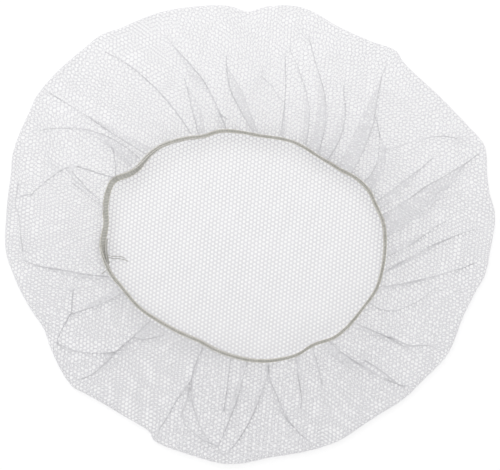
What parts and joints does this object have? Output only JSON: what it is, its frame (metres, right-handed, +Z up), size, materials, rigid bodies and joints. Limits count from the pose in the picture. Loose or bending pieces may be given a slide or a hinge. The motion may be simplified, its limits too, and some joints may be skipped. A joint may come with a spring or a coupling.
{
  "type": "hairnet",
  "caption": "Disposable hairnet lying open side up: fine white net bag gathered in pleats onto a slack flat elastic loop",
  "frame": {"origin": "middle of the net's footprint, on the surface that the crown lies on", "axes": "+Z up, out of the mouth; +X the long way across, to the right in the picture; +Y the other way across, up in the picture"},
  "size_m": [0.2943, 0.2756, 0.0161],
  "materials": {
    "net": "fine white hexagonal net",
    "elastic": "ribbed grey-beige elastic with cream overlock stitches"
  },
  "bodies": {
    "root": {"net_bag": "net", "elastic_band": "elastic", "elastic_tail": "elastic"}
  },
  "joints": []
}
